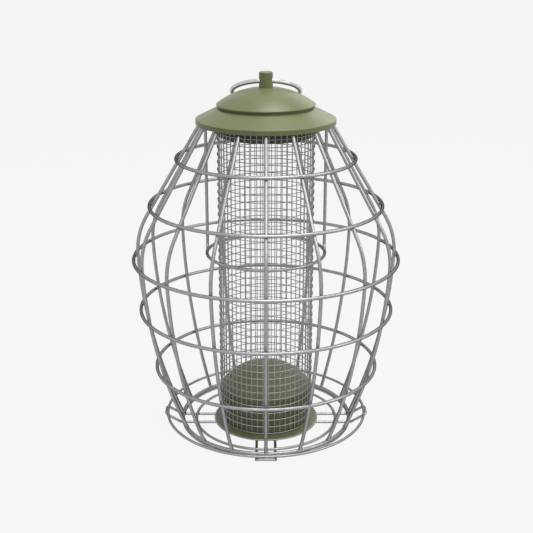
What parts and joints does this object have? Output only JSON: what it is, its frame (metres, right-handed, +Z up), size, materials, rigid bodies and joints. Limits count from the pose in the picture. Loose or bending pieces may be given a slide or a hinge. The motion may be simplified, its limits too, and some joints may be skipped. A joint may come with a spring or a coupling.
{
  "type": "squirrel proof bird feeder",
  "caption": "Hanging bird feeder: a wire mesh nut tube on a domed base inside a barrel cage of welded wire, with a conical roof, a lift-off domed cap, a hanging ring and an open wire tray.",
  "frame": {"origin": "middle of the footprint, on the ground under the tray's lowest wires", "axes": "+Z up along the tube, front facing -Y, +X to the right seen from the front"},
  "size_m": [0.2502, 0.2502, 0.3423],
  "materials": {
    "cage_wire": "galvanised wire, satin",
    "green_paint": "olive green satin powder coat",
    "mesh_wire": "galvanised welded mesh, dull",
    "band_plastic": "dark grey, matt",
    "plug_plastic": "dark green grey, matt",
    "fastener_steel": "zinc plated",
    "ring_steel": "bright plated wire"
  },
  "bodies": {
    "cage": {"cage_top_ring": "cage_wire", "cage_neck_hoop": "cage_wire", "cage_shoulder_hoop": "cage_wire", "cage_belly_hoop": "cage_wire", "cage_waist_hoop": "cage_wire", "cage_low_hoop": "cage_wire", "cage_bottom_ring": "cage_wire", "cage_rib_01": "cage_wire", "cage_rib_02": "cage_wire", "cage_rib_03": "cage_wire", "cage_rib_04": "cage_wire", "cage_rib_05": "cage_wire", "cage_rib_06": "cage_wire", "cage_rib_07": "cage_wire", "cage_rib_08": "cage_wire", "cage_rib_09": "cage_wire", "cage_rib_10": "cage_wire", "cage_rib_11": "cage_wire", "cage_rib_12": "cage_wire", "cage_rib_13": "cage_wire", "cage_rib_14": "cage_wire", "cage_rib_15": "cage_wire", "cage_rib_16": "cage_wire", "guide_hoop_front": "cage_wire", "guide_hoop_rear": "cage_wire", "tray_side_loop": "cage_wire", "tray_front_loop": "cage_wire", "tray_inner_ring": "cage_wire", "tray_middle_ring": "cage_wire", "tray_rim_ring": "cage_wire"},
    "base": {"base_plate": "green_paint", "base_dome": "green_paint", "base_screws": "fastener_steel"},
    "mesh_tube": {"mesh_uprights": "mesh_wire", "mesh_hoops_lower": "mesh_wire", "mesh_hoops_upper": "mesh_wire", "mesh_top_band": "band_plastic"},
    "roof": {"roof_flange": "green_paint", "roof_lip": "green_paint"},
    "cap": {"cap_dome": "green_paint", "cap_plug": "plug_plastic", "hanging_post": "green_paint", "post_washer": "fastener_steel", "post_nut": "fastener_steel"},
    "hanging_ring": {"hanging_ring": "ring_steel"}
  },
  "joints": [
    {"name": "feeder_lift", "type": "slide", "parent": "cage", "child": "base", "axis": [0, 0, 1], "range_m": [0, 0.31]},
    {"name": "tube_release", "type": "slide", "parent": "base", "child": "mesh_tube", "axis": [0, 0, 1], "range_m": [0, 0.055]},
    {"name": "roof_lift", "type": "slide", "parent": "mesh_tube", "child": "roof", "axis": [0, 0, 1], "range_m": [0, 0.05]},
    {"name": "cap_lift", "type": "slide", "parent": "roof", "child": "cap", "axis": [0, 0, 1], "range_m": [0, 0.03]},
    {"name": "ring_swing", "type": "hinge", "parent": "cap", "child": "hanging_ring", "pos_m": [0, 0, 0.33428], "axis": [1, 0, 0], "range_deg": [0, 231]}
  ]
}
